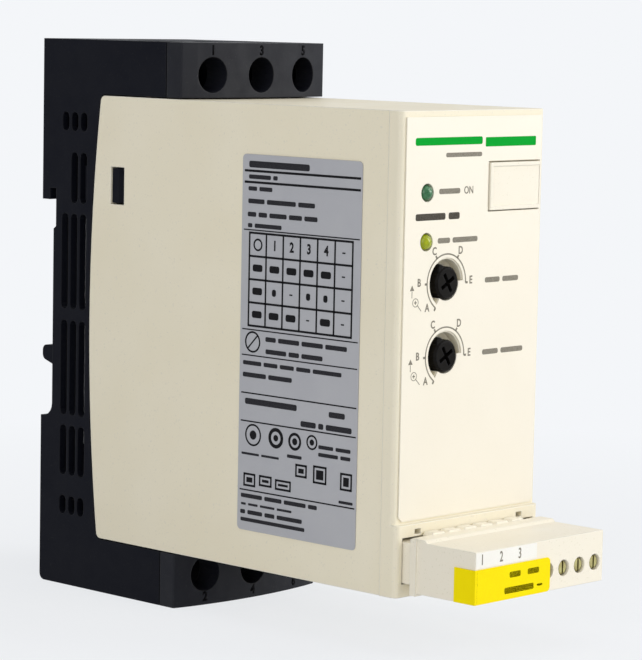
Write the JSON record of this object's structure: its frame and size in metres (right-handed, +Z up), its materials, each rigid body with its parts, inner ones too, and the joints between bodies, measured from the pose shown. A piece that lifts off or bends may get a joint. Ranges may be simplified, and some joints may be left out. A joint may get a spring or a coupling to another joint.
{
  "type": "soft starter",
  "caption": "Rail-mounted motor soft starter: black C-shaped terminal housing, cream control housing, setting knobs, indicator lamps and a pull-out control plug.",
  "frame": {"origin": "bottom centre of the device's bounding box, under the middle of its depth", "axes": "+Z up along the height, +X to the right seen from the front, front with the control plug towards -Y, rail seat towards +Y"},
  "size_m": [0.045, 0.1308, 0.124],
  "materials": {
    "black_plastic": "fine-grained black moulding",
    "cream_plastic": "fine-grained cream moulding",
    "plug_plastic": "smooth cream moulding",
    "printed_film": "satin printed film",
    "knob_plastic": "smooth black moulding",
    "zinc_steel": "bright zinc plate",
    "spring_steel": "drawn spring wire",
    "contact_copper": "tin-plated copper strip",
    "nickel_brass": "dull nickel-plated brass",
    "aluminium": "extruded and cut",
    "board_laminate": "green solder resist on glass laminate",
    "component_black": "black moulding compound",
    "coil_tape": "yellow coil tape",
    "green_lens": "green tinted clear resin",
    "yellow_lens": "yellow-green tinted clear resin",
    "label_grey": "satin silver-grey polyester label",
    "label_yellow": "satin yellow film label"
  },
  "bodies": {
    "housing": {"rear_housing": "black_plastic", "line_terminal_cover": "black_plastic", "load_terminal_cover": "black_plastic", "main_housing": "cream_plastic", "front_film": "printed_film", "marker_plate": "cream_plastic", "power_led": "green_lens", "full_voltage_led": "yellow_lens", "start_time_potentiometer": "component_black", "initial_voltage_potentiometer": "component_black", "power_board": "board_laminate", "front_board": "board_laminate", "control_board": "board_laminate", "heat_sink": "aluminium", "thyristor_module_lower": "component_black", "thyristor_module_upper": "component_black", "bypass_relay": "component_black", "control_transformer": "coil_tape", "plug_header": "cream_plastic", "rating_label": "label_grey", "rail_clip_spring": "spring_steel", "line_contact_bar_1": "contact_copper", "line_contact_bar_2": "contact_copper", "line_contact_bar_3": "contact_copper", "load_contact_bar_1": "contact_copper", "load_contact_bar_2": "contact_copper", "load_contact_bar_3": "contact_copper"},
    "start_time_knob": {"start_time_knob": "knob_plastic"},
    "initial_voltage_knob": {"initial_voltage_knob": "knob_plastic"},
    "rail_clip": {"rail_clip": "black_plastic"},
    "control_plug": {"control_plug": "plug_plastic", "plug_label": "label_yellow"},
    "line_terminal_screw_1": {"line_terminal_screw_1": "zinc_steel"},
    "line_cage_clamp_1": {"line_cage_clamp_1": "zinc_steel"},
    "line_terminal_screw_2": {"line_terminal_screw_2": "zinc_steel"},
    "line_cage_clamp_2": {"line_cage_clamp_2": "zinc_steel"},
    "line_terminal_screw_3": {"line_terminal_screw_3": "zinc_steel"},
    "line_cage_clamp_3": {"line_cage_clamp_3": "zinc_steel"},
    "load_terminal_screw_1": {"load_terminal_screw_1": "zinc_steel"},
    "load_cage_clamp_1": {"load_cage_clamp_1": "zinc_steel"},
    "load_terminal_screw_2": {"load_terminal_screw_2": "zinc_steel"},
    "load_cage_clamp_2": {"load_cage_clamp_2": "zinc_steel"},
    "load_terminal_screw_3": {"load_terminal_screw_3": "zinc_steel"},
    "load_cage_clamp_3": {"load_cage_clamp_3": "zinc_steel"},
    "plug_screw_1": {"plug_screw_1": "nickel_brass"},
    "plug_cage_clamp_1": {"plug_cage_clamp_1": "nickel_brass"},
    "plug_screw_2": {"plug_screw_2": "nickel_brass"},
    "plug_cage_clamp_2": {"plug_cage_clamp_2": "nickel_brass"},
    "plug_screw_3": {"plug_screw_3": "nickel_brass"},
    "plug_cage_clamp_3": {"plug_cage_clamp_3": "nickel_brass"},
    "plug_screw_4": {"plug_screw_4": "nickel_brass"},
    "plug_cage_clamp_4": {"plug_cage_clamp_4": "nickel_brass"},
    "plug_screw_5": {"plug_screw_5": "nickel_brass"},
    "plug_cage_clamp_5": {"plug_cage_clamp_5": "nickel_brass"},
    "plug_screw_6": {"plug_screw_6": "nickel_brass"},
    "plug_cage_clamp_6": {"plug_cage_clamp_6": "nickel_brass"},
    "plug_screw_7": {"plug_screw_7": "nickel_brass"},
    "plug_cage_clamp_7": {"plug_cage_clamp_7": "nickel_brass"},
    "plug_screw_8": {"plug_screw_8": "nickel_brass"},
    "plug_cage_clamp_8": {"plug_cage_clamp_8": "nickel_brass"}
  },
  "joints": [
    {"name": "start_time_knob_turn", "type": "hinge", "parent": "housing", "child": "start_time_knob", "pos_m": [-0.0082, -0.04535, 0.0763], "axis": [0, -1, 0], "range_deg": [-100, 100]},
    {"name": "initial_voltage_knob_turn", "type": "hinge", "parent": "housing", "child": "initial_voltage_knob", "pos_m": [-0.0082, -0.04535, 0.0612], "axis": [0, -1, 0], "range_deg": [-100, 100]},
    {"name": "rail_clip_slide", "type": "slide", "parent": "housing", "child": "rail_clip", "axis": [0, 0, -1], "range_m": [0, 0.003], "stiffness_N_per_m": 800, "springref_m": -0.001, "deforming": ["rail_clip_spring"]},
    {"name": "control_plug_pull", "type": "slide", "parent": "housing", "child": "control_plug", "axis": [0, -1, 0], "range_m": [0, 0.016]},
    {"name": "line_terminal_screw_1_turn", "type": "hinge", "parent": "housing", "child": "line_terminal_screw_1", "pos_m": [-0.014, 0.02855, 0.117], "axis": [0, 1, 0], "range_deg": [0, 1800]},
    {"name": "line_cage_clamp_1_slide", "type": "slide", "parent": "housing", "child": "line_cage_clamp_1", "axis": [0, -1, 0], "range_m": [0, 0.0035]},
    {"name": "line_terminal_screw_2_turn", "type": "hinge", "parent": "housing", "child": "line_terminal_screw_2", "pos_m": [0, 0.02855, 0.117], "axis": [0, 1, 0], "range_deg": [0, 1800]},
    {"name": "line_cage_clamp_2_slide", "type": "slide", "parent": "housing", "child": "line_cage_clamp_2", "axis": [0, -1, 0], "range_m": [0, 0.0035]},
    {"name": "line_terminal_screw_3_turn", "type": "hinge", "parent": "housing", "child": "line_terminal_screw_3", "pos_m": [0.014, 0.02855, 0.117], "axis": [0, 1, 0], "range_deg": [0, 1800]},
    {"name": "line_cage_clamp_3_slide", "type": "slide", "parent": "housing", "child": "line_cage_clamp_3", "axis": [0, -1, 0], "range_m": [0, 0.0035]},
    {"name": "load_terminal_screw_1_turn", "type": "hinge", "parent": "housing", "child": "load_terminal_screw_1", "pos_m": [-0.014, 0.02855, 0.007], "axis": [0, 1, 0], "range_deg": [0, 1800]},
    {"name": "load_cage_clamp_1_slide", "type": "slide", "parent": "housing", "child": "load_cage_clamp_1", "axis": [0, -1, 0], "range_m": [0, 0.0035]},
    {"name": "load_terminal_screw_2_turn", "type": "hinge", "parent": "housing", "child": "load_terminal_screw_2", "pos_m": [0, 0.02855, 0.007], "axis": [0, 1, 0], "range_deg": [0, 1800]},
    {"name": "load_cage_clamp_2_slide", "type": "slide", "parent": "housing", "child": "load_cage_clamp_2", "axis": [0, -1, 0], "range_m": [0, 0.0035]},
    {"name": "load_terminal_screw_3_turn", "type": "hinge", "parent": "housing", "child": "load_terminal_screw_3", "pos_m": [0.014, 0.02855, 0.007], "axis": [0, 1, 0], "range_deg": [0, 1800]},
    {"name": "load_cage_clamp_3_slide", "type": "slide", "parent": "housing", "child": "load_cage_clamp_3", "axis": [0, -1, 0], "range_m": [0, 0.0035]},
    {"name": "plug_screw_1_turn", "type": "hinge", "parent": "control_plug", "child": "plug_screw_1", "pos_m": [-0.01778, -0.06485, 0.01785], "axis": [0, 1, 0], "range_deg": [0, 1728]},
    {"name": "plug_cage_clamp_1_slide", "type": "slide", "parent": "control_plug", "child": "plug_cage_clamp_1", "axis": [0, -1, 0], "range_m": [0, 0.0024]},
    {"name": "plug_screw_2_turn", "type": "hinge", "parent": "control_plug", "child": "plug_screw_2", "pos_m": [-0.0127, -0.06485, 0.01785], "axis": [0, 1, 0], "range_deg": [0, 1728]},
    {"name": "plug_cage_clamp_2_slide", "type": "slide", "parent": "control_plug", "child": "plug_cage_clamp_2", "axis": [0, -1, 0], "range_m": [0, 0.0024]},
    {"name": "plug_screw_3_turn", "type": "hinge", "parent": "control_plug", "child": "plug_screw_3", "pos_m": [-0.00762, -0.06485, 0.01785], "axis": [0, 1, 0], "range_deg": [0, 1728]},
    {"name": "plug_cage_clamp_3_slide", "type": "slide", "parent": "control_plug", "child": "plug_cage_clamp_3", "axis": [0, -1, 0], "range_m": [0, 0.0024]},
    {"name": "plug_screw_4_turn", "type": "hinge", "parent": "control_plug", "child": "plug_screw_4", "pos_m": [-0.00254, -0.06485, 0.01785], "axis": [0, 1, 0], "range_deg": [0, 1728]},
    {"name": "plug_cage_clamp_4_slide", "type": "slide", "parent": "control_plug", "child": "plug_cage_clamp_4", "axis": [0, -1, 0], "range_m": [0, 0.0024]},
    {"name": "plug_screw_5_turn", "type": "hinge", "parent": "control_plug", "child": "plug_screw_5", "pos_m": [0.00254, -0.06485, 0.01785], "axis": [0, 1, 0], "range_deg": [0, 1728]},
    {"name": "plug_cage_clamp_5_slide", "type": "slide", "parent": "control_plug", "child": "plug_cage_clamp_5", "axis": [0, -1, 0], "range_m": [0, 0.0024]},
    {"name": "plug_screw_6_turn", "type": "hinge", "parent": "control_plug", "child": "plug_screw_6", "pos_m": [0.00762, -0.06485, 0.01785], "axis": [0, 1, 0], "range_deg": [0, 1728]},
    {"name": "plug_cage_clamp_6_slide", "type": "slide", "parent": "control_plug", "child": "plug_cage_clamp_6", "axis": [0, -1, 0], "range_m": [0, 0.0024]},
    {"name": "plug_screw_7_turn", "type": "hinge", "parent": "control_plug", "child": "plug_screw_7", "pos_m": [0.0127, -0.06485, 0.01785], "axis": [0, 1, 0], "range_deg": [0, 1728]},
    {"name": "plug_cage_clamp_7_slide", "type": "slide", "parent": "control_plug", "child": "plug_cage_clamp_7", "axis": [0, -1, 0], "range_m": [0, 0.0024]},
    {"name": "plug_screw_8_turn", "type": "hinge", "parent": "control_plug", "child": "plug_screw_8", "pos_m": [0.01778, -0.06485, 0.01785], "axis": [0, 1, 0], "range_deg": [0, 1728]},
    {"name": "plug_cage_clamp_8_slide", "type": "slide", "parent": "control_plug", "child": "plug_cage_clamp_8", "axis": [0, -1, 0], "range_m": [0, 0.0024]}
  ],
  "couplings": [
    {"joint": "line_terminal_screw_1_turn", "follows": "line_cage_clamp_1_slide", "rad_per_m": 8976},
    {"joint": "line_terminal_screw_2_turn", "follows": "line_cage_clamp_2_slide", "rad_per_m": 8976},
    {"joint": "line_terminal_screw_3_turn", "follows": "line_cage_clamp_3_slide", "rad_per_m": 8976},
    {"joint": "load_terminal_screw_1_turn", "follows": "load_cage_clamp_1_slide", "rad_per_m": 8976},
    {"joint": "load_terminal_screw_2_turn", "follows": "load_cage_clamp_2_slide", "rad_per_m": 8976},
    {"joint": "load_terminal_screw_3_turn", "follows": "load_cage_clamp_3_slide", "rad_per_m": 8976},
    {"joint": "plug_screw_1_turn", "follows": "plug_cage_clamp_1_slide", "rad_per_m": 12566},
    {"joint": "plug_screw_2_turn", "follows": "plug_cage_clamp_2_slide", "rad_per_m": 12566},
    {"joint": "plug_screw_3_turn", "follows": "plug_cage_clamp_3_slide", "rad_per_m": 12566},
    {"joint": "plug_screw_4_turn", "follows": "plug_cage_clamp_4_slide", "rad_per_m": 12566},
    {"joint": "plug_screw_5_turn", "follows": "plug_cage_clamp_5_slide", "rad_per_m": 12566},
    {"joint": "plug_screw_6_turn", "follows": "plug_cage_clamp_6_slide", "rad_per_m": 12566},
    {"joint": "plug_screw_7_turn", "follows": "plug_cage_clamp_7_slide", "rad_per_m": 12566},
    {"joint": "plug_screw_8_turn", "follows": "plug_cage_clamp_8_slide", "rad_per_m": 12566}
  ]
}
